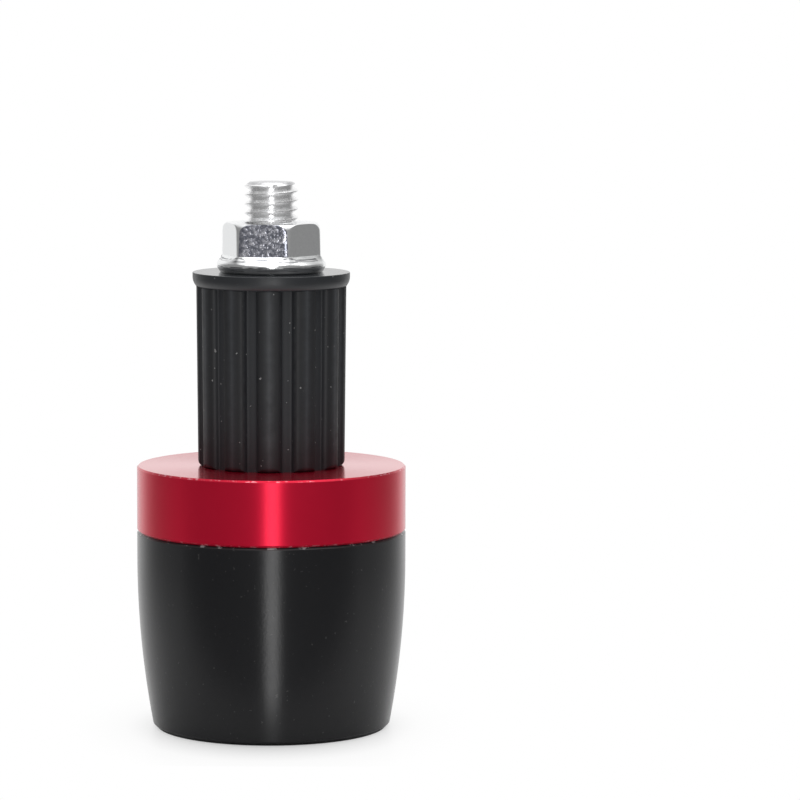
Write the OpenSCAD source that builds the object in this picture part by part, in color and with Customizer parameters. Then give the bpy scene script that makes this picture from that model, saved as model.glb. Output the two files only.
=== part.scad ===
// Handlebar end weight, clamped in the bar's open end by a rubber plug.
// It stands on the open end of its barrel. The origin is the centre of the standing rim,
// and +Z runs up the bolt. Lengths are in millimetres.

/* [Barrel] */
// Outside diameter of the barrel and the ring
body_d = 30; // [26:0.5:40]
// Height of the barrel
barrel_h = 22.1; // [18:0.1:32]
// Height of the straight band under the ring
band_h = 3; // [1:0.1:6]
// Radius of the bowed flank, seen from the side
flank_r = 101.5; // [80:0.5:300]
// Chamfer on the standing edge
rim_edge = 0.4; // [0.2:0.1:0.8]
// Thickness of the wall at the standing rim
rim_wall = 1.7; // [1.5:0.05:3]
// Depth of the recess round the bolt's head
recess_depth = 11; // [8:0.1:13]
// Radius left by the boring tool in the recess's corner
recess_corner = 0.6; // [0.2:0.1:1.5]
// Chamfer on the recess's mouth
mouth_edge = 0.25; // [0.1:0.05:0.4]
// Diameter of the spigot that centres the ring
spigot_d = 12; // [9:0.5:18]
// Height of the spigot
spigot_h = 2; // [1:0.1:4]

/* [Ring] */
// Height of the ring
ring_h = 7.3; // [5.5:0.1:12]
// Chamfer on the ring's top edge
ring_edge = 0.2; // [0.1:0.05:0.8]
// Chamfer on both edges of the seam between the ring and the barrel
seam_edge = 0.25; // [0.05:0.05:0.4]

/* [Rubber sleeve] */
// Diameter of the sleeve's collar, which suits the bore of the bar
plug_d = 17.5; // [15:0.1:20]
// Height of the sleeve
sleeve_h = 21.6; // [14:0.1:32]
// Height of the collar's straight band
collar_h = 0.5; // [0.3:0.05:1.5]
// Height of the collar's curved underside
collar_under_h = 1.05; // [0.6:0.05:2]
// How far the collar stands proud of the ribs
collar_lip = 0.4; // [0.2:0.05:0.8]
// Number of ribs
rib_count = 12; // [8:1:14]
// Width of a rib
rib_w = 2.7; // [1.8:0.1:3]
// Depth of the flutes between the ribs, at the ring
flute_depth = 0.85; // [0.6:0.05:1.6]
// Radius of a rib's bulging crest
rib_crest_r = 3; // [2:0.1:8]
// Radius along a rib's two edges
rib_round = 0.6; // [0.3:0.05:0.8]
// Radius of a rib's lower end
rib_foot_round = 0.6; // [0.3:0.05:1]
// Draft of the ribs, in degrees
rib_draft = 0.5; // [0:0.1:1]

/* [Bolt] */
// Outside diameter of the thread
thread_d = 6; // [5:0.5:8]
// How far the bolt's end stands out of the nut
bolt_out = 4.5; // [0:0.5:12]
// Chamfer on the bolt's end
tip_edge = 0.7; // [0.3:0.1:1]
// Diameter of the bolt's head
head_d = 10; // [9:0.5:13]
// Height of the bolt's head
head_h = 6; // [4:0.5:7]
// Chamfer on the head's outer edge
head_edge = 0.5; // [0.2:0.1:0.8]
// Size of the key's hexagon across its flats
key_af = 5; // [3:0.5:6]
// Depth of the key's hexagon
key_depth = 3; // [2:0.1:3.5]

/* [Nut] */
// Height of the nut with its flange
nut_h = 5.5; // [4.5:0.1:9]
// Size of the nut's hexagon across its flats
nut_af = 9.8; // [9.6:0.1:11]
// Diameter over the nut's blunted corners
nut_corner_d = 10.95; // [10.7:0.05:11.2]
// Turn of the nut's corners about the bolt, in degrees
nut_turn = -8.75; // [-30:0.25:30]
// Diameter of the flange
flange_d = 12.1; // [11.8:0.1:15]
// Diameter of the flange's seat
flange_seat_d = 11.4; // [10:0.1:11.6]
// Height of the flange's rim above its seat
flange_rim_h = 0.65; // [0.4:0.05:1.2]
// Height of the flange's upright edge
flange_land_h = 0.4; // [0.1:0.05:0.6]
// Height at which the flange's slope meets the hexagon's flats
flange_h = 2.2; // [1.7:0.1:2.8]
// Height of the bevel on the hexagon's top corners
nut_bevel_h = 0.75; // [0.3:0.05:1]
// How far the turned top face lies inside the hexagon's flats
nut_face_in = 0.25; // [0.1:0.05:0.6]
// Countersink at the top of the nut's thread
nut_mouth = 0.35; // [0.1:0.05:0.6]

/* [Clearances] */
// Radial gap of the bolt in the metal pieces
bolt_gap = 0.2; // [0.1:0.05:0.5]
// Radial gap of the bolt in the sleeve
sleeve_gap = 0.25; // [0.15:0.05:0.6]
// Radial gap of the bolt in the nut
thread_gap = 0.05; // [0.02:0.01:0.1]
// Radial gap of the spigot in the ring
spigot_gap = 0.05; // [0.02:0.01:0.2]
// Gap over the spigot's end
spigot_end_gap = 0.2; // [0.1:0.1:0.5]

/* [Hidden] */
$fn = 96;

// Overshoot of a cut past the face that it opens
over = 1;

// Heights of the seats, from the standing rim up
ring_z = barrel_h;
sleeve_z = ring_z + ring_h;
nut_z = sleeve_z + sleeve_h;
nut_top_z = nut_z + nut_h;
bolt_top_z = nut_top_z + bolt_out;

// Radii of the body and of the bolt's holes
body_r = body_d / 2;
thread_r = thread_d / 2;
bolt_hole_r = thread_r + bolt_gap;
spigot_r = spigot_d / 2;

// The flank's arc ends upright where the straight band starts
band_z = barrel_h - band_h;
flank_axis_r = body_r - flank_r;
rim_r = flank_axis_r + sqrt(flank_r * flank_r - band_z * band_z);
recess_r = rim_r - rim_wall;

// Sleeve: the collar sets the ribs' crest, which draws in towards the ring
plug_r = plug_d / 2;
collar_foot_h = sleeve_h - collar_h - collar_under_h;
crest_top_r = plug_r - collar_lip;
crest_foot_r = crest_top_r - collar_foot_h * tan(rib_draft);
flute_floor_r = crest_foot_r - flute_depth;

// The collar's underside is an arc that starts upright under the straight band and
// cuts a little way into the ribs
collar_bite = 0.1;
collar_arc_in = collar_lip + collar_bite;
collar_arc_r = (pow(collar_under_h, 2) + pow(collar_arc_in, 2)) / (2 * collar_arc_in);

// Centre of the crest's arc, and centres of the arcs along a rib's edges, which touch
// its crest and its sides
rib_crest_x = crest_foot_r - rib_crest_r;
rib_arc_y = rib_w / 2 - rib_round;
rib_arc_x = rib_crest_x + sqrt(pow(rib_crest_r - rib_round, 2) - pow(rib_arc_y, 2));

// Depth to which a rib is rooted in the sleeve's core
rib_root = 0.6;

// A rib's lower end is rounded by an arc that just clears the crest above it
foot_clear = 0.03;
foot_arc_r = crest_foot_r + foot_clear - rib_foot_round;

// Nut: the flats' distance from the bolt's axis, and the radius of the threaded bore
nut_flat_r = nut_af / 2;
nut_bore_r = thread_r + thread_gap;

// Cuts off a convex corner outside an arc, between two directions from the arc's centre
module corner_cut(centre, r, from, to) {
    reach = 3 * r;
    mid = (from + to) / 2;
    difference() {
        polygon([
            centre,
            centre + reach * [cos(from), sin(from)],
            centre + 2 * reach * [cos(mid), sin(mid)],
            centre + reach * [cos(to), sin(to)]
        ]);
        translate(centre) circle(r = r);
    }
}

// Section of the barrel's outside: straight band, bowed flank and chamfered rim
module barrel_outline() {
    difference() {
        union() {
            translate([0, band_z])
                polygon([
                    [0, 0],
                    [body_r, 0],
                    [body_r, band_h - seam_edge],
                    [body_r - seam_edge, band_h],
                    [0, band_h]
                ]);
            intersection() {
                square([body_r, band_z]);
                translate([flank_axis_r, band_z]) circle(r = flank_r, $fn = 720);
            }
            square([spigot_r, barrel_h + spigot_h]);
        }
        polygon([
            [rim_r - rim_edge, 0],
            [rim_r + rim_edge, 2 * rim_edge],
            [rim_r + rim_edge, -over],
            [rim_r - rim_edge, -over]
        ]);
    }
}

// Section of the recess that the bolt's head sits in
module recess_outline() {
    difference() {
        union() {
            translate([0, -over]) square([recess_r, recess_depth + over]);
            polygon([
                [0, -over],
                [recess_r + mouth_edge + over, -over],
                [recess_r, mouth_edge],
                [0, mouth_edge]
            ]);
        }
        corner_cut([recess_r - recess_corner, recess_depth - recess_corner], recess_corner, 0, 90);
    }
}

module barrel() {
    color("#202226")
    difference() {
        rotate_extrude() barrel_outline();
        rotate_extrude() recess_outline();
        translate([0, 0, -over])
            cylinder(r = bolt_hole_r, h = barrel_h + spigot_h + 2 * over);
    }
}

module accent_ring() {
    color("#a81026")
    translate([0, 0, ring_z])
    difference() {
        rotate_extrude()
            polygon([
                [0, 0],
                [body_r - seam_edge, 0],
                [body_r, seam_edge],
                [body_r, ring_h - ring_edge],
                [body_r - ring_edge, ring_h],
                [0, ring_h]
            ]);
        translate([0, 0, -over])
            cylinder(r = spigot_r + spigot_gap, h = spigot_h + spigot_end_gap + over);
        cylinder(r = bolt_hole_r, h = ring_h + over);
    }
}

// Section across one rib: upright sides, rounded edges and a bulging crest
module rib_outline() {
    root_x = flute_floor_r - rib_root;
    translate([root_x, -rib_w / 2]) square([rib_arc_x - root_x, rib_w]);
    for (side = [-1, 1])
        translate([rib_arc_x, side * rib_arc_y]) circle(r = rib_round);
    translate([rib_crest_x, 0])
    intersection() {
        circle(r = rib_crest_r);
        polygon([
            [0, 0],
            2 * [rib_arc_x - rib_crest_x, -rib_arc_y],
            2 * [rib_arc_x - rib_crest_x, rib_arc_y]
        ]);
    }
}

// One rib, leaning outwards by the draft as it rises
module rib() {
    translate([crest_foot_r, 0, 0])
    rotate([0, rib_draft, 0])
    translate([-crest_foot_r, 0, -over])
        linear_extrude(height = collar_foot_h + collar_under_h / 2 + over) rib_outline();
}

// Room that the ribs may fill, with their rounded lower ends
module rib_envelope() {
    rotate_extrude() {
        square([foot_arc_r, rib_foot_round]);
        translate([foot_arc_r, rib_foot_round])
        intersection() {
            circle(r = rib_foot_round);
            translate([0, -rib_foot_round]) square(rib_foot_round);
        }
        translate([0, rib_foot_round]) square([plug_r, collar_foot_h]);
    }
}

// Section of the collar: straight band over a curved underside
module collar_outline() {
    translate([0, collar_foot_h + collar_under_h]) square([plug_r, collar_h]);
    intersection() {
        translate([0, collar_foot_h]) square([plug_r, collar_under_h]);
        translate([plug_r - collar_arc_r, collar_foot_h + collar_under_h])
            circle(r = collar_arc_r);
    }
}

module rubber_sleeve() {
    color("#2e2e31")
    translate([0, 0, sleeve_z])
    difference() {
        union() {
            cylinder(r = flute_floor_r, h = sleeve_h);
            intersection() {
                for (i = [0 : rib_count - 1])
                    rotate([0, 0, -90 + i * 360 / rib_count]) rib();
                rib_envelope();
            }
            rotate_extrude() collar_outline();
        }
        translate([0, 0, -over])
            cylinder(r = thread_r + sleeve_gap, h = sleeve_h + 2 * over);
    }
}

module clamp_bolt() {
    head_r = head_d / 2;
    head_z = recess_depth - head_h;
    key_r = key_af / 2 / cos(30);
    color("#c4c6ca")
    difference() {
        rotate_extrude()
            polygon([
                [0, head_z],
                [head_r - head_edge, head_z],
                [head_r, head_z + head_edge],
                [head_r, recess_depth],
                [thread_r, recess_depth],
                [thread_r, bolt_top_z - tip_edge],
                [thread_r - tip_edge, bolt_top_z],
                [0, bolt_top_z]
            ]);
        translate([0, 0, head_z - over])
            rotate([0, 0, 30]) cylinder(r = key_r, h = key_depth + over, $fn = 6);
        translate([0, 0, head_z + key_depth])
            cylinder(r1 = key_af / 2, r2 = 0, h = key_af / 2 * tan(30));
    }
}

module flange_nut() {
    color("#cfd1d4")
    translate([0, 0, nut_z])
    difference() {
        union() {
            rotate_extrude()
                polygon([
                    [0, 0],
                    [flange_seat_d / 2, 0],
                    [flange_d / 2, flange_rim_h],
                    [flange_d / 2, flange_rim_h + flange_land_h],
                    [nut_flat_r, flange_h],
                    [0, flange_h]
                ]);
            intersection() {
                rotate([0, 0, nut_turn])
                    cylinder(r = nut_flat_r / cos(30), h = nut_h, $fn = 6);
                rotate_extrude()
                    polygon([
                        [0, flange_rim_h],
                        [nut_corner_d / 2, flange_rim_h],
                        [nut_corner_d / 2, nut_h - nut_bevel_h],
                        [nut_flat_r - nut_face_in, nut_h],
                        [0, nut_h]
                    ]);
            }
        }
        translate([0, 0, -over]) cylinder(r = nut_bore_r, h = nut_h + 2 * over);
        rotate_extrude()
            polygon([
                [0, nut_h - nut_mouth],
                [nut_bore_r, nut_h - nut_mouth],
                [nut_bore_r + nut_mouth + over, nut_h + over],
                [0, nut_h + over]
            ]);
    }
}

barrel();
accent_ring();
rubber_sleeve();
clamp_bolt();
flange_nut();
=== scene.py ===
"""A handlebar end weight with a ribbed rubber plug, standing on the open end of its barrel.

Lengths are in metres, +Z is up along the bolt, and the camera looks along +Y.
"""
import math

import bpy
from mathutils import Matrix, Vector


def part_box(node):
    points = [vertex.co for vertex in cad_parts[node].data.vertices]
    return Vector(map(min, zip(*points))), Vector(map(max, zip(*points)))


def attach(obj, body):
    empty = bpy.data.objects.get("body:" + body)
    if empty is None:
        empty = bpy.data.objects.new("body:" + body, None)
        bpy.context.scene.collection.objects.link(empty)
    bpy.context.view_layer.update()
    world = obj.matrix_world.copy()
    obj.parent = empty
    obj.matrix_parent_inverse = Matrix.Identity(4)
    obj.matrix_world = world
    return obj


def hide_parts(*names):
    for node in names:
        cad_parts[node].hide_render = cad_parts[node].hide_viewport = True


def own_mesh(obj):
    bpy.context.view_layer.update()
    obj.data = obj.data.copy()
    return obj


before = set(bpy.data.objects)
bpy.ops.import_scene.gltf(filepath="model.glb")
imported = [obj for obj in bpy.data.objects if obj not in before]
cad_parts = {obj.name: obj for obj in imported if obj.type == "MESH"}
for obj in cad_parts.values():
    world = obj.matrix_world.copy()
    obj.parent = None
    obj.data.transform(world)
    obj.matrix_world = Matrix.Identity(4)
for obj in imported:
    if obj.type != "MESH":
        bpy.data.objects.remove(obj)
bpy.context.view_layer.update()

# Barrel
# A cup turned from aluminium bar and anodised satin black. The ring sits on its spigot,
# and the bolt's head sits in the recess of its open end.

mm = 0.001
merge_gap = 0.001 * mm

barrel_foot, barrel_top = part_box("barrel")
seam_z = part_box("accent_ring")[0].z
bolt_head_foot, bolt_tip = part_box("clamp_bolt")
body_r = barrel_top.x
band_h = 3.0 * mm
flank_r = 101.5 * mm
rim_edge = 0.4 * mm
rim_wall = 1.7 * mm
recess_depth = 11.0 * mm
recess_corner = 0.6 * mm
mouth_edge = 0.25 * mm
spigot_r = 6.0 * mm
seam_edge = 0.25 * mm
thread_r = 3.0 * mm
bolt_gap = 0.2 * mm
metal_bore_r = thread_r + bolt_gap
turned_steps = 256


def arc(centre_r, centre_z, radius, start, end, steps):
    """Points along an arc of an outline, with angles in degrees from outwards to up."""
    points = []
    for i in range(steps + 1):
        angle = math.radians(start + (end - start) * i / steps)
        points.append((centre_r + radius * math.cos(angle), centre_z + radius * math.sin(angle)))
    return points


def draw(name, points, closed=True):
    """Starts a mesh with a point and extrudes it from corner to corner of an outline."""
    bpy.ops.object.select_all(action="DESELECT")
    bpy.ops.mesh.primitive_plane_add(size=mm, location=(points[0][0], 0, points[0][1]))
    piece = bpy.context.object
    piece.name = name
    piece.data.name = name
    bpy.ops.object.mode_set(mode="EDIT")
    bpy.ops.mesh.select_mode(type="VERT")
    bpy.ops.mesh.merge(type="CENTER")
    ends = points[1:] + points[:1] if closed else points[1:]
    for here, there in zip(points, ends):
        step = (there[0] - here[0], 0, there[1] - here[1])
        bpy.ops.mesh.extrude_vertices_move(TRANSFORM_OT_translate={"value": step})
    bpy.ops.mesh.select_all(action="SELECT")
    bpy.ops.mesh.remove_doubles(threshold=merge_gap)
    return piece


def turn(name, points, steps=turned_steps):
    """Spins a closed outline round the bolt's axis into a turned solid."""
    piece = draw(name, points)
    bpy.ops.mesh.spin(steps=steps, angle=math.tau, center=(0, 0, 0), axis=(0, 0, 1))
    bpy.ops.mesh.select_all(action="SELECT")
    bpy.ops.mesh.remove_doubles(threshold=merge_gap)
    bpy.ops.mesh.normals_make_consistent(inside=False)
    bpy.ops.object.mode_set(mode="OBJECT")
    bpy.ops.object.transform_apply(location=True)
    return piece


def settle(piece, body, node, smooth=32):
    """Moves a finished piece's place into its mesh, smooths it and hands it to its body."""
    bpy.ops.object.select_all(action="DESELECT")
    piece.select_set(True)
    bpy.context.view_layer.objects.active = piece
    bpy.ops.object.transform_apply(location=True, rotation=True, scale=True)
    bpy.ops.object.shade_smooth_by_angle(angle=math.radians(smooth))
    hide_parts(node)
    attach(piece, body)


band_z = seam_z - band_h
flank_axis_r = body_r - flank_r
rim_r = flank_axis_r + math.sqrt(flank_r ** 2 - band_z ** 2)
recess_r = rim_r - rim_wall
edge_foot_r = rim_r - rim_edge
edge_middle = (edge_foot_r - flank_axis_r - band_z) / 2
edge_reach = (edge_foot_r - flank_axis_r) ** 2 + band_z ** 2 - flank_r ** 2
edge_h = math.sqrt(edge_middle ** 2 - edge_reach / 2) - edge_middle
edge_turn = math.degrees(math.asin((edge_h - band_z) / flank_r))

barrel_outline = [
    (metal_bore_r, barrel_top.z),
    (spigot_r, barrel_top.z),
    (spigot_r, seam_z),
    (body_r - seam_edge, seam_z),
    (body_r, seam_z - seam_edge),
]
barrel_outline += arc(flank_axis_r, band_z, flank_r, 0, edge_turn, 24)
barrel_outline += [
    (edge_foot_r, 0),
    (recess_r + mouth_edge, 0),
    (recess_r, mouth_edge),
]
barrel_outline += arc(
    recess_r - recess_corner, recess_depth - recess_corner, recess_corner, 0, 90, 6
)
barrel_outline.append((metal_bore_r, recess_depth))
barrel = turn("barrel_cup", barrel_outline)


class Wire:
    """A socket that is added, subtracted, multiplied and compared as a number is."""

    def __init__(self, nodes, socket):
        self.nodes = nodes
        self.socket = socket

    def join(self, operation, first, second):
        """A Math node's result."""
        return self.nodes.node("Math", {"operation": operation}, {0: first, 1: second})

    def __add__(self, other):
        return self.join("ADD", self, other)

    def __radd__(self, other):
        return self.join("ADD", other, self)

    def __sub__(self, other):
        return self.join("SUBTRACT", self, other)

    def __rsub__(self, other):
        return self.join("SUBTRACT", other, self)

    def __mul__(self, other):
        return self.join("MULTIPLY", self, other)

    def __rmul__(self, other):
        return self.join("MULTIPLY", other, self)

    def __gt__(self, other):
        return self.join("GREATER_THAN", self, other)

    def __lt__(self, other):
        return self.join("LESS_THAN", self, other)

    def __abs__(self):
        return self.nodes.node("Math", {"operation": "ABSOLUTE"}, {0: self})


class Nodes:
    """A node tree whose nodes are added one by one."""

    def __init__(self, tree):
        self.tree = tree

    def node(self, kind, settings=None, inputs=None, output=0):
        """Adds a node with its settings, values and links, and gives one of its outputs."""
        added = self.tree.nodes.new("ShaderNode" + kind)
        for name, value in (settings or {}).items():
            if name == "stops":
                self.set_stops(added.color_ramp, value)
            else:
                setattr(added, name, value)
        for name, value in (inputs or {}).items():
            self.feed(added.inputs[name], value)
        return Wire(self, added.outputs[output])

    def set_stops(self, ramp, stops):
        """Gives a colour ramp its grey stops, as pairs of a position and a level."""
        while len(ramp.elements) < len(stops):
            ramp.elements.new(1.0)
        for element, (position, level) in zip(ramp.elements, stops):
            element.position = position
            element.color = (level, level, level, 1)

    def feed(self, socket, value):
        """Links a wire to a socket, or sets the socket to a plain value."""
        if isinstance(value, Wire):
            self.tree.links.new(value.socket, socket)
        else:
            socket.default_value = value

    def parts(self, vector):
        """The three parts of a vector: to the right, back and up."""
        split = self.node("SeparateXYZ", None, {0: vector}).socket.node
        return [Wire(self, output) for output in split.outputs]

    def ramp(self, value, *stops):
        return self.node("ValToRGB", {"stops": stops}, {"Fac": value})

    def mix(self, mask, first, second):
        return self.node("Mix", {"data_type": "RGBA"}, {0: mask, 6: first, 7: second}, output=2)

    def show(self, surface, end):
        """Links a shader to the surface of the tree's last node."""
        self.feed(self.tree.nodes[end].inputs["Surface"], surface)


class Finish(Nodes):
    """A surface finish: the nodes of a new material round its main shader."""

    def __init__(self, name):
        self.material = bpy.data.materials.new(name)
        self.material.use_nodes = True
        super().__init__(self.material.node_tree)
        self.shader = self.tree.nodes["Principled BSDF"]
        self.place = self.node("TexCoord", output="Object")

    def set(self, **sockets):
        """Feeds sockets of the main shader, named with underscores for their spaces."""
        for name, value in sockets.items():
            self.feed(self.shader.inputs[name.replace("_", " ")], value)

    def stretched(self, x, y, z):
        """A place whose patterns are finer or coarser along each axis."""
        return self.node("Mapping", None, {"Vector": self.place, "Scale": (x, y, z)})

    def noise(self, vector, scale, detail=2.0, roughness=0.5):
        return self.node(
            "TexNoise", None,
            {"Vector": vector, "Scale": scale, "Detail": detail, "Roughness": roughness},
        )

    def turned(self):
        """A place that changes only outwards and up, for marks that run round the axis."""
        x, y, z = self.parts(self.place)
        out = self.node("Math", {"operation": "SQRT"}, {0: x * x + y * y})
        return self.node("CombineXYZ", None, {0: out, 1: 0.0, 2: z})

    def bump(self, height, depth):
        return self.node("Bump", None, {"Height": height, "Strength": 1.0, "Distance": depth})


black = Finish("satin black anodising")
tool_marks = black.noise(black.turned(), 9000, detail=3)
cloudy = black.noise(black.place, 160, detail=3)
specks = black.ramp(black.noise(black.place, 2600, detail=1), (0.73, 0.0), (0.78, 1.0))
grain = black.noise(black.place, 4200, detail=2)
z = black.parts(black.place)[2]
on_edge = z > seam_z - seam_edge + 0.05 * mm
# Light grey flecks on the top chamfer by the seam: worn bare metal, and painted glints of the
# machined edge.
nicks_and_glints = black.ramp(black.noise(black.place, 900, detail=3), (0.58, 0.0), (0.66, 1.0))
deep_black = (0.0012, 0.0013, 0.0026, 1)
grey_speck = (0.03, 0.03, 0.03, 1)
bare_glint_grey = (0.30, 0.30, 0.30, 1)
black.set(
    Base_Color=black.mix(nicks_and_glints * on_edge, black.mix(specks, deep_black, grey_speck), bare_glint_grey),
    Roughness=0.23 + 0.05 * cloudy + 0.10 * grain,
    Metallic=0.0,
    IOR=1.43,
    Anisotropic=0.9,
    Anisotropic_Rotation=0.25,
    Normal=black.bump(0.25 * tool_marks + 0.75 * grain, 0.006 * mm),
)
barrel.data.materials.append(black.material)
settle(barrel, "weight", "barrel")

# Accent ring
# A thick aluminium washer turned from bar, polished and anodised bright red. It is
# held between the barrel and the rubber sleeve, and its top face meets the bar's end.

ring_foot, ring_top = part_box("accent_ring")
ring_edge = 0.2 * mm
spigot_gap = 0.05 * mm
spigot_end_gap = 0.2 * mm
counterbore_r = spigot_r + spigot_gap
counterbore_top = barrel_top.z + spigot_end_gap

ring = turn("red_ring", [
    (counterbore_r, ring_foot.z),
    (body_r - seam_edge, ring_foot.z),
    (body_r, ring_foot.z + seam_edge),
    (body_r, ring_top.z - ring_edge),
    (body_r - ring_edge, ring_top.z),
    (metal_bore_r, ring_top.z),
    (metal_bore_r, counterbore_top),
    (counterbore_r, counterbore_top),
])

red = Finish("bright red anodising")
tool_marks = red.noise(red.turned(), 7000, detail=3)
cloudy = red.noise(red.place, 140, detail=2)
grain = red.noise(red.place, 4200, detail=2)
z = red.parts(red.place)[2]
skin = 0.03 * mm
on_top = z > ring_top.z - skin
above_side = z > ring_top.z - ring_edge + skin
below_side = z < ring_foot.z + seam_edge - skin
on_edge = above_side - on_top + 0.5 * below_side
# Pale pink flecks on the ring's chamfers: worn anodising, and painted glints of the machined
# edges.
nicks_and_glints = red.ramp(red.noise(red.place, 1700, detail=3), (0.54, 0.0), (0.68, 1.0))
deep_red = (0.56, 0.004, 0.030, 1)
bright_red = (0.62, 0.005, 0.036, 1)
worn_glint_red = (0.80, 0.34, 0.40, 1)
red.set(
    Base_Color=red.mix(nicks_and_glints * on_edge, red.mix(cloudy, deep_red, bright_red), worn_glint_red),
    Roughness=0.32 + 0.06 * tool_marks + 0.08 * grain - 0.20 * on_top,
    Metallic=0.8,
    IOR=1.4,
    Anisotropic=0.9,
    Anisotropic_Rotation=0.25,
    Coat_Weight=0.5,
    Coat_Roughness=0.16,
    Coat_IOR=1.2,
    Normal=red.bump(0.3 * tool_marks + 0.7 * grain, 0.003 * mm),
)
ring.data.materials.append(red.material)
settle(ring, "weight", "accent_ring")

# Rubber sleeve
# A plug moulded in black rubber, with ribs along it and a collar at the nut's end. The
# nut squeezes it against the ring, and it swells and grips the bar's bore.

sleeve_foot, sleeve_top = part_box("rubber_sleeve")
collar_r = sleeve_top.x
sleeve_z = sleeve_foot.z
rib_count = 12
rib_w = 2.7 * mm
rib_round = 0.6 * mm
rib_foot_round = 0.6 * mm
rib_crest_r = 3.0 * mm
flute_depth = 0.85 * mm
floor_round = 0.03 * mm
floor_hold = 0.12 * mm
draft = math.tan(math.radians(0.5))
collar_h = 0.5 * mm
collar_under_h = 1.05 * mm
collar_lip = 0.4 * mm
sleeve_gap = 0.25 * mm
sleeve_bore_r = thread_r + sleeve_gap
flute_end_z = sleeve_top.z - collar_h - collar_under_h
crest_top_r = collar_r - collar_lip
crest_foot_r = crest_top_r - (flute_end_z - sleeve_z) * draft
flute_floor_r = crest_foot_r - flute_depth


def rib_half():
    """Half of a rib's section and of the flute beside it, as (along, across) the rib."""
    crest_x = crest_foot_r - rib_crest_r
    arc_y = rib_w / 2 - rib_round
    arc_x = crest_x + math.sqrt((rib_crest_r - rib_round) ** 2 - arc_y ** 2)
    lean = math.degrees(math.atan2(arc_y, arc_x - crest_x))
    half_pitch = math.pi / rib_count
    wall = math.asin(rib_w / 2 / flute_floor_r)
    half = arc(crest_x, 0.0, rib_crest_r, 0, lean, 4)[:-1]
    half += arc(arc_x, arc_y, rib_round, lean, 90, 7)
    foot_x = flute_floor_r * math.cos(wall)
    half.append((foot_x + floor_hold, rib_w / 2))
    half.append((foot_x + floor_round, rib_w / 2 + floor_round))
    for share in (0.18, 0.6, 1.0):
        angle = wall + (half_pitch - wall) * share
        half.append((flute_floor_r * math.cos(angle), flute_floor_r * math.sin(angle)))
    return half


def rib_loop():
    """The section across all the ribs, as points (x, y), with a rib towards the camera."""
    half = rib_half()
    whole = [(x, -y) for x, y in reversed(half[1:-1])] + half
    points = []
    for i in range(rib_count):
        angle = math.tau * i / rib_count - math.pi / 2
        for x, y in whole:
            points.append((
                x * math.cos(angle) - y * math.sin(angle),
                x * math.sin(angle) + y * math.cos(angle),
            ))
    return points


def raise_row(height, scale=1.0):
    """Extrudes the selected loop upwards and resizes it about the bolt's axis."""
    bpy.ops.mesh.extrude_edges_move(TRANSFORM_OT_translate={"value": (0, 0, height)})
    bpy.ops.transform.resize(value=(scale, scale, 1), center_override=(0, 0, 0))


def raise_rows(start, rows):
    """Extrudes the selected loop from row to row, each given as its distances out and up."""
    for (here_r, here_z), (next_r, next_z) in zip([start] + rows, rows):
        raise_row(next_z - here_z, next_r / here_r)


def widen(vertex, share):
    """Moves a vertex away from the bolt's axis or towards it."""
    vertex.co.x *= share
    vertex.co.y *= share


loop = rib_loop()
bpy.ops.object.select_all(action="DESELECT")
bpy.ops.mesh.primitive_circle_add(
    vertices=len(loop), radius=crest_foot_r, location=(0, 0, sleeve_z)
)
sleeve = bpy.context.object
sleeve.name = "rubber_plug"
sleeve.data.name = "rubber_plug"
bpy.ops.object.transform_apply(location=True)
for vertex, (x, y) in zip(sleeve.data.vertices, loop):
    vertex.co.x = x
    vertex.co.y = y
bpy.ops.object.mode_set(mode="EDIT")
bpy.ops.mesh.select_all(action="SELECT")

foot_steps = 6
bends = [math.pi / 2 * i / foot_steps for i in range(foot_steps + 1)]
for low, high in zip(bends, bends[1:]):
    raise_row(rib_foot_round * (math.cos(low) - math.cos(high)))
rib_rows = 14
row_h = (flute_end_z - sleeve_z - rib_foot_round) / rib_rows
for i in range(rib_rows):
    here_r = crest_foot_r + draft * (rib_foot_round + i * row_h)
    raise_row(row_h, (here_r + draft * row_h) / here_r)
bpy.ops.mesh.extrude_edges_move(TRANSFORM_OT_translate={"value": (0, 0, 0)})
bpy.ops.object.mode_set(mode="OBJECT")

# The flutes end in a ledge under the collar, and the ribs are rounded at their feet.
for vertex in sleeve.data.vertices:
    out = math.hypot(vertex.co.x, vertex.co.y)
    if vertex.select:
        widen(vertex, crest_top_r / out)
    elif vertex.co.z < sleeve_z + rib_foot_round:
        rise = 1 - (vertex.co.z - sleeve_z) / rib_foot_round
        limit = crest_foot_r - rib_foot_round * (1 - math.sqrt(1 - rise ** 2))
        widen(vertex, min(1, limit / out))
bpy.ops.object.mode_set(mode="EDIT")

collar_arc_r = (collar_under_h ** 2 + collar_lip ** 2) / (2 * collar_lip)
arc_start = -math.degrees(math.asin(collar_under_h / collar_arc_r))
collar_rows = arc(
    collar_r - collar_arc_r, flute_end_z + collar_under_h, collar_arc_r, arc_start, 0, 9
)[1:]
top_round = 0.08 * mm
top_hold = 0.048 * mm
collar_rows += arc(collar_r - top_round, sleeve_top.z - top_round, top_round, 0, 90, 3)
collar_rows += [
    (collar_r - top_round - top_hold, sleeve_top.z),
    (sleeve_bore_r + top_round + top_hold, sleeve_top.z),
    (sleeve_bore_r + top_round, sleeve_top.z),
    (sleeve_bore_r, sleeve_top.z - top_round),
    (sleeve_bore_r, sleeve_z),
]
raise_rows((crest_top_r, flute_end_z), collar_rows)
bpy.ops.mesh.select_all(action="DESELECT")
bpy.ops.mesh.select_non_manifold()
bpy.ops.mesh.bridge_edge_loops()
bpy.ops.mesh.select_all(action="SELECT")
bpy.ops.mesh.remove_doubles(threshold=merge_gap)
bpy.ops.mesh.normals_make_consistent(inside=False)
bpy.ops.object.mode_set(mode="OBJECT")

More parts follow.
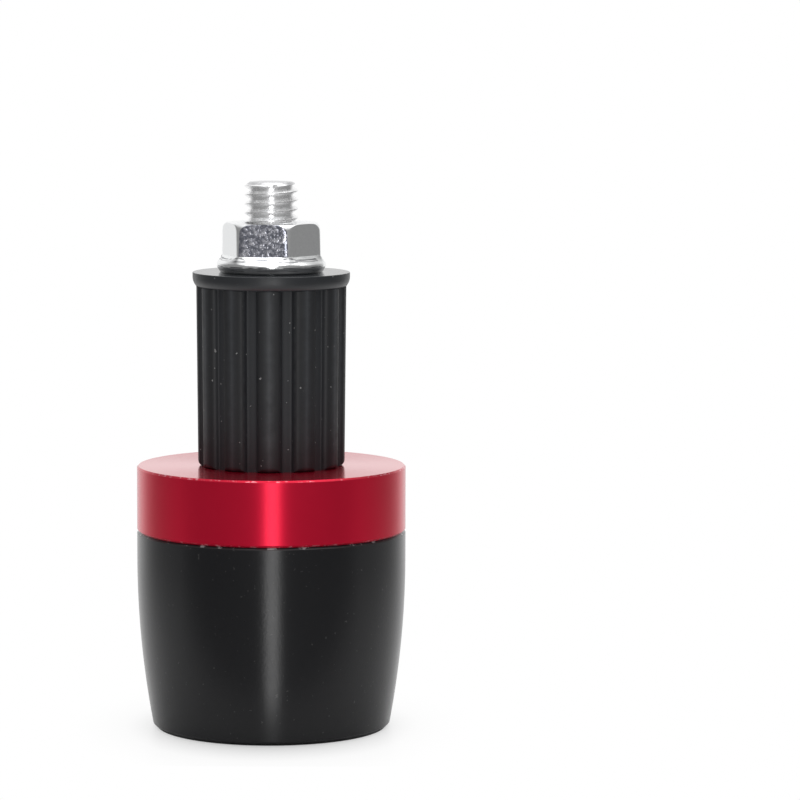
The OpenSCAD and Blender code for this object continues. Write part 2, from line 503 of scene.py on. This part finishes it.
rubber = Finish("moulded black rubber")
mottle = rubber.noise(rubber.place, 900, detail=4, roughness=0.6)
drag = rubber.noise(rubber.stretched(1, 1, 0.12), 1500, detail=3)
x, y, z = rubber.parts(rubber.place)
# Painted highlight along each rib's crest and painted light on the flute floors, with the rib
# shoulders between them left dark: the colour follows the ribs' section round the axis. The
# collar takes an even share of the lighter colour.
angle = rubber.node("Math", {"operation": "ARCTAN2"}, {0: x, 1: y})
pitches = angle * (rib_count / math.tau)
off_crest = rubber.node("Math", {"operation": "PINGPONG"}, {0: pitches, 1: 0.5})
sheen_share = rubber.ramp(
    off_crest + 0.10 * mottle,
    (0.04, 1.0), (0.13, 0.30), (0.22, 0.0), (0.34, 0.0), (0.38, 0.45),
)
dust = rubber.ramp(rubber.noise(rubber.place, 2900, detail=0), (0.845, 0.0), (0.86, 1.0))
on_ribs = z < flute_end_z
on_ledge = abs(z - flute_end_z) < 0.10 * mm
on_top = z > sleeve_top.z - skin
collar_share = 0.35
sheen_share = sheen_share * on_ribs + collar_share * (1 - on_ribs)
base_rubber = (0.006, 0.007, 0.009, 1)
sheen_rubber = (0.036, 0.039, 0.044, 1)
grey_dust = (0.22, 0.22, 0.22, 1)
matt_share = 0.72 + 0.28 * on_ribs - 0.44 * on_top
rubber.set(
    Base_Color=rubber.mix(dust, rubber.mix(sheen_share, base_rubber, sheen_rubber), grey_dust),
    Roughness=(0.48 + 0.20 * mottle) * matt_share + 0.4 * on_ledge,
    IOR=1.5,
    Normal=rubber.bump((0.6 * mottle + 0.4 * drag) * (1 - on_top), 0.02 * mm),
)
sleeve.data.materials.append(rubber.material)
settle(sleeve, "weight", "rubber_sleeve", smooth=38)
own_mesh(sleeve)

# Clamp bolt
# A socket head bolt, M6 by 50, cold headed in steel with a rolled thread and plated in
# bright zinc. It runs through all the pieces, and its head sits in the barrel's recess.

pitch = 1.0 * mm
crest_r = thread_r - 0.03 * mm
root_r = crest_r - 0.56 * mm
crest_flat = 0.10 * pitch
root_flat = 0.14 * pitch
flank_h = (pitch - crest_flat - root_flat) / 2
thread_length = 24 * mm
thread_turn = 0.54
tip_r = 2.38 * mm
tip_lead = 1.6
head_r = bolt_tip.x
head_edge = 0.5 * mm
key_af = 5.0 * mm
key_depth = 3.0 * mm
thread_steps = 72

thread_z = bolt_tip.z - thread_length
run_out = 1.5 * pitch


def thread_outline():
    """One pitch of the thread's section, from root to root, as points (out, up)."""
    rise = [(root_r, root_flat / 2)]
    for share in (1 / 3, 2 / 3, 1):
        rise.append((root_r + (crest_r - root_r) * share, root_flat / 2 + flank_h * share))
    fall = [(r, pitch - z) for r, z in reversed(rise)]
    return [(root_r, 0)] + rise + fall + [(root_r, pitch)]


spare_turns = 2
start_z = thread_z - spare_turns * pitch
bolt = draw("zinc_bolt", [(r, start_z + z) for r, z in thread_outline()], closed=False)
bpy.ops.object.mode_set(mode="OBJECT")
bpy.ops.object.transform_apply(location=True)
winding = bolt.modifiers.new("thread", "SCREW")
winding.axis = "Z"
winding.angle = math.tau
winding.screw_offset = pitch
winding.iterations = round(thread_length / pitch) + 2 * spare_turns
winding.steps = thread_steps
winding.render_steps = thread_steps
bpy.ops.object.modifier_apply(modifier=winding.name)
bpy.ops.transform.rotate(
    value=math.tau * thread_turn, orient_axis="Z", center_override=(0, 0, 0)
)
bpy.ops.object.transform_apply(rotation=True, location=True)
bpy.ops.object.mode_set(mode="EDIT")
bpy.ops.mesh.select_all(action="SELECT")
bpy.ops.mesh.remove_doubles(threshold=merge_gap)
bpy.ops.mesh.bisect(
    plane_co=(0, 0, bolt_tip.z), plane_no=(0, 0, 1), use_fill=True, clear_outer=True,
    threshold=merge_gap / 10,
)
bpy.ops.mesh.select_all(action="SELECT")
bpy.ops.mesh.bisect(
    plane_co=(0, 0, thread_z), plane_no=(0, 0, 1), use_fill=False, clear_inner=True,
    threshold=merge_gap / 10,
)
bpy.ops.object.mode_set(mode="OBJECT")

# The thread fades out at its foot and starts with a lead-in at the bolt's end.
for vertex in bolt.data.vertices:
    out = math.hypot(vertex.co.x, vertex.co.y)
    depth = min(1, max(0, (vertex.co.z - thread_z) / run_out))
    faded = crest_r - (crest_r - out) * depth
    widen(vertex, min(faded, tip_r + (bolt_tip.z - vertex.co.z) * tip_lead) / out)
    vertex.select = abs(vertex.co.z - thread_z) < merge_gap
bpy.ops.object.mode_set(mode="EDIT")
bpy.ops.mesh.select_mode(type="EDGE")
bpy.ops.mesh.select_all(action="DESELECT")
bpy.ops.mesh.select_non_manifold()

bolt_rows = [
    (thread_r - 0.05 * mm, recess_depth + 0.2 * mm),
    (thread_r, recess_depth),
    (head_r - 0.1 * mm, recess_depth),
    (head_r, recess_depth - 0.1 * mm),
    (head_r, bolt_head_foot.z + head_edge),
]
bolt_rows += arc(
    head_r - head_edge, bolt_head_foot.z + head_edge, head_edge, 0, -90, 5
)[1:]
raise_rows((crest_r, thread_z), bolt_rows)
bpy.ops.mesh.edge_face_add()
bpy.ops.mesh.select_all(action="SELECT")
bpy.ops.mesh.normals_make_consistent(inside=False)
bpy.ops.object.mode_set(mode="OBJECT")


def cut(piece, cutter):
    """Takes the cutter's form out of a piece and deletes the cutter."""
    taking = piece.modifiers.new("cut", "BOOLEAN")
    taking.operation = "DIFFERENCE"
    taking.solver = "EXACT"
    taking.object = cutter
    bpy.ops.object.select_all(action="DESELECT")
    bpy.context.view_layer.objects.active = piece
    bpy.ops.object.modifier_apply(modifier=taking.name)
    bpy.data.objects.remove(cutter)


key_r = key_af / 2 / math.cos(math.pi / 6)
over = 1.0 * mm
bpy.ops.mesh.primitive_cylinder_add(
    vertices=6, radius=key_r, depth=key_depth + over,
    location=(0, 0, bolt_head_foot.z + (key_depth - over) / 2),
)
key_hole = bpy.context.object
bpy.ops.object.mode_set(mode="EDIT")
bpy.ops.mesh.select_all(action="DESELECT")
bpy.ops.object.mode_set(mode="OBJECT")
for face in key_hole.data.polygons:
    face.select = face.normal.z > 0.9
bpy.ops.object.mode_set(mode="EDIT")
bpy.ops.mesh.select_mode(type="FACE")
bpy.ops.mesh.extrude_faces_move(
    TRANSFORM_OT_shrink_fatten={"value": key_r / 2}
)
bpy.ops.mesh.merge(type="CENTER")
bpy.ops.object.mode_set(mode="OBJECT")
cut(bolt, key_hole)

zinc = Finish("bright zinc plating, rolled")
smear = zinc.noise(zinc.turned(), 2500, detail=3)
pits = zinc.noise(zinc.place, 2200, detail=3, roughness=0.6)
z = zinc.parts(zinc.place)[2]
# Painted highlight: the bolt's end takes a near-white zinc, lighter than the rest of the bolt.
on_tip = z > bolt_tip.z - 0.25 * mm
bright = zinc.mix(pits, (0.90, 0.90, 0.91, 1), (0.98, 0.98, 0.98, 1))
dull = zinc.mix(pits, (0.34, 0.34, 0.35, 1), (0.80, 0.80, 0.81, 1))
zinc.set(
    Base_Color=zinc.mix(on_tip, bright, dull),
    Roughness=0.21 + 0.14 * pits,
    Metallic=1.0,
    Normal=zinc.bump(0.5 * smear + 0.5 * pits, 0.004 * mm),
)
bolt.data.materials.append(zinc.material)
settle(bolt, "bolt", "clamp_bolt", smooth=28)

# Flange nut
# An M6 nut with a flange, cold formed in steel and plated in bright zinc. Its flange
# presses on the sleeve's collar, and it climbs down the thread as the bolt turns.

nut_foot, nut_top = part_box("flange_nut")
nut_z = nut_foot.z
nut_h = nut_top.z - nut_foot.z
flange_r = nut_top.x
flange_seat_r = 5.7 * mm
flange_rim_h = 0.65 * mm
flange_land_h = 0.4 * mm
flange_h = 2.2 * mm
nut_flat_r = 4.9 * mm
nut_corner_r = 5.475 * mm
nut_bevel_h = 0.75 * mm
nut_face_r = nut_flat_r - 0.10 * mm
corner_foot_r = nut_corner_r + 0.09 * mm
corner_top_r = nut_corner_r + 0.03 * mm
skirt_h = flange_h - 0.27 * mm
thread_gap = 0.05 * mm
nut_bore_r = thread_r + thread_gap
nut_mouth = 0.35 * mm
nut_turn = math.radians(-8.75)
corner_soft = 0.14 * mm
bevel_soft = 0.05 * mm
rim_round = 0.03 * mm
blank_r = nut_corner_r + 0.5 * mm


def soft_least(first, second, soft):
    """The smaller of two lengths, with a rounded change from one to the other."""
    gap = max(soft - abs(first - second), 0) / soft
    return min(first, second) - gap * gap * soft / 4


slope_start = flange_rim_h + flange_land_h
nut_outline = [
    (nut_bore_r + nut_mouth, 0),
    (flange_seat_r - 0.06 * mm, 0),
    (flange_seat_r, 0.05 * mm),
]
nut_outline += [(flange_seat_r + (flange_r - flange_seat_r) * s, flange_rim_h * s)
                for s in (0.35, 0.7, 0.95)]
nut_outline += [
    (flange_r, flange_rim_h + rim_round),
    (flange_r, slope_start - rim_round),
]
slope_rows = 12
nut_outline += [(blank_r, slope_start + (skirt_h - slope_start) * i / slope_rows)
                for i in range(1, slope_rows + 1)]
side_rows = 10
bevel_z = nut_h - nut_bevel_h
nut_outline += [(blank_r, skirt_h + (bevel_z - skirt_h) * i / side_rows)
                for i in range(1, side_rows + 1)]
bevel_rows = 16
nut_outline += [(blank_r, nut_h - nut_bevel_h * (1 - i / bevel_rows) ** 3)
                for i in range(1, bevel_rows)]
nut_outline += [
    (nut_face_r, nut_h),
    (nut_face_r - 0.15 * mm, nut_h),
    (nut_bore_r + nut_mouth + 0.05 * mm, nut_h),
    (nut_bore_r + nut_mouth - 0.02 * mm, nut_h - 0.03 * mm),
    (nut_bore_r, nut_h - nut_mouth),
    (nut_bore_r, nut_mouth),
]
nut = turn("zinc_nut", [(r, nut_z + z) for r, z in nut_outline], steps=288)

# The round blank is drawn in to the hexagon, its domed bevel and the flange's slope.
for vertex in nut.data.vertices:
    out = math.hypot(vertex.co.x, vertex.co.y)
    height = vertex.co.z - nut_z
    if height < slope_start - 0.01 * mm or out < blank_r - 0.2 * mm:
        continue
    angle = math.atan2(vertex.co.y, vertex.co.x) - nut_turn
    across = (angle + math.tau) % (math.pi / 3) - math.pi / 6
    flat = nut_flat_r / math.cos(across)
    rise = min(1, max(0, (height - skirt_h) / (bevel_z - skirt_h)))
    corner = corner_foot_r + (corner_top_r - corner_foot_r) * rise
    hexagon = soft_least(flat, corner, corner_soft)
    dome = ((nut_h - height) / nut_bevel_h) ** (1 / 3)
    bevel = nut_face_r + (corner_top_r - nut_face_r) * dome
    wanted = soft_least(hexagon, bevel, bevel_soft)
    if height < skirt_h:
        slope = (height - slope_start) / (skirt_h - slope_start)
        wanted = flange_r + (hexagon - flange_r) * slope
    widen(vertex, wanted / out)

plated = Finish("bright zinc plating, formed")
grit = plated.noise(plated.place, 2600, detail=3, roughness=0.6)
drawn = plated.noise(plated.stretched(1, 1, 0.12), 2400, detail=2)
folds = plated.noise(plated.turned(), 2600, detail=2)
x, y, z = plated.parts(plated.place)
# The facet towards the front gets a darker, speckled zinc: scars from forming, and painted shade
# where it reflects the dim room in front.
shaded_facet_turn = nut_turn - math.radians(90)
reach = x * math.cos(shaded_facet_turn) + y * math.sin(shaded_facet_turn)
over_skirt = z > nut_z + skirt_h
marked_shaded_facet = (reach > nut_flat_r - 0.09 * mm) * over_skirt
scars = plated.ramp(grit, (0.42, 0.0), (0.70, 1.0))
patches = plated.ramp(plated.noise(plated.place, 500), (0.42, 0.0), (0.52, 1.0))
# Fold lines round the flange's slope: bumped, with their shade painted in as dark zinc.
crease_shade = plated.ramp(folds, (0.51, 0.0), (0.58, 1.0)) * patches * (1 - over_skirt)
clean = plated.mix(grit, (0.82, 0.83, 0.84, 1), (0.93, 0.94, 0.94, 1))
plain = plated.mix(crease_shade, clean, (0.18, 0.18, 0.19, 1))
scarred_shaded_zinc = plated.mix(scars, (0.25, 0.26, 0.31, 1), (0.80, 0.80, 0.86, 1))
even = 0.03 * grit + 0.05 * drawn * over_skirt + 0.40 * folds * (1 - over_skirt)
plated.set(
    Base_Color=plated.mix(marked_shaded_facet, plain, scarred_shaded_zinc),
    Roughness=0.16 + 0.10 * grit,
    Metallic=1.0,
    Normal=plated.bump(even + 0.3 * scars * marked_shaded_facet, 0.05 * mm),
)
nut.data.materials.append(plated.material)
settle(nut, "nut", "flange_nut", smooth=35)

# Studio
# The weight stands on a white table in a white room. The camera stands where the
# photograph's did, with the weight left of the middle of its frame.

camera_x = 14.22 * mm
camera_y = -450 * mm
camera_z = 83.82 * mm
camera_pitch = 5.978
camera_roll = 0.149
frame_pixels = 800
focal_pixels = 4057
sensor_w = 36.0

eye = bpy.data.cameras.new("camera")
eye.sensor_width = sensor_w
eye.lens = sensor_w * focal_pixels / frame_pixels
eye.clip_start = 0.01
eye.clip_end = 20
camera = bpy.data.objects.new("camera", eye)
camera.location = (camera_x, camera_y, camera_z)
camera.rotation_euler = (math.radians(90 - camera_pitch), math.radians(-camera_roll), 0)
bpy.context.scene.collection.objects.link(camera)
bpy.context.scene.camera = camera

bpy.ops.object.select_all(action="DESELECT")
table_depth = 0.9
table_front = -0.0245
table_width = 0.22
table_gap = 0.01 * mm
bpy.ops.mesh.primitive_plane_add(
    size=1.0, location=(0, table_front + table_depth / 2, -table_gap)
)
table = bpy.context.object
table.name = "white_table"
table.scale = (table_width, table_depth, 1)
bpy.ops.object.transform_apply(location=True, scale=True)
white = Finish("white table")
seen = white.node("LightPath", output="Is Camera Ray")
mirrored = white.node("LightPath", output="Is Glossy Ray")
through = white.node("LightPath", output="Is Transmission Ray")
glow = white.node("Emission", None, {"Color": (1, 1, 1, 1), "Strength": 1.0})
white.set(Base_Color=(0.93, 0.93, 0.93, 1), Roughness=0.35)

# The camera sees the table turn to plain white away from the weight, and so do
# reflections, while the light and the shadow round its foot are the table's own.
wide = white.stretched(1.35, 1, 1)
away = white.node("VectorMath", {"operation": "LENGTH"}, {0: wide}, output=1)
far = white.ramp(away * 10, (0.13, 0.35), (0.22, 0.88), (0.31, 1.0))
beyond = white.ramp(away * 10, (0.35, 0.0), (0.55, 1.0))
paint = Wire(white, white.shader.outputs[0])
share = far * seen + beyond * (mirrored + through)
white.show(white.node("MixShader", None, {0: share, 1: paint, 2: glow}), "Material Output")
table.data.materials.append(white.material)


def lamp(name, place, target, width, height, watts):
    """A soft lamp that faces the target."""
    light = bpy.data.lights.new(name, "AREA")
    light.shape = "RECTANGLE"
    light.size = width
    light.size_y = height
    light.energy = watts
    stand = bpy.data.objects.new(name, light)
    stand.location = place
    aim = Vector(target) - Vector(place)
    stand.rotation_euler = aim.to_track_quat("-Z", "Y").to_euler()
    bpy.context.scene.collection.objects.link(stand)


middle = (0, 0, 30 * mm)
lamp("front strip", (0.042, -1.0, -0.14), middle, width=0.20, height=0.9, watts=2.9)
lamp("top softbox", (0.10, 0, 0.8), middle, width=0.7, height=0.7, watts=2.6)

# The room is dim in front, with a white backdrop behind the weight, a white ceiling
# and a white floor in front of the table.
world = bpy.data.worlds.new("white room")
world.use_nodes = True
bpy.context.scene.world = world
room = Nodes(world.node_tree)
facing = room.node("TexCoord", output="Generated")
up = room.parts(facing)[2]
lean = room.node(
    "VectorMath", {"operation": "DOT_PRODUCT"}, {0: facing, 1: (-0.04, 0.5, 0)}, output="Value"
)
backwards = lean + 0.52
walls = room.ramp(
    backwards,
    (0.02, 0.34), (0.17, 0.30), (0.52, 0.26), (0.77, 0.27),
    (0.87, 0.55), (0.925, 0.95), (0.96, 1.0),
)
low = room.node("MapRange", None, {"Value": up, "From Min": -0.50, "From Max": -0.72})
high = room.node("MapRange", None, {"Value": up, "From Min": 0.55, "From Max": 0.80})
walls_and_floor = room.mix(low, walls, (1, 1, 1, 1))
lit = room.mix(high, walls_and_floor, (1.15, 1.15, 1.15, 1))
dim_room = room.node("Background", None, {"Color": lit})
backdrop = room.node("Background", None, {"Color": (1, 1, 1, 1), "Strength": 1.0})
seen = room.node("LightPath", output="Is Camera Ray")
mirrored = room.node("LightPath", output="Is Glossy Ray")
through = room.node("LightPath", output="Is Transmission Ray")
behind = room.ramp(backwards, (0.925, 0.0), (0.96, 1.0))
share = seen + behind * (mirrored + through)
room.show(room.node("MixShader", None, {0: share, 1: dim_room, 2: backdrop}), "World Output")

bpy.context.scene.view_settings.view_transform = "Standard"
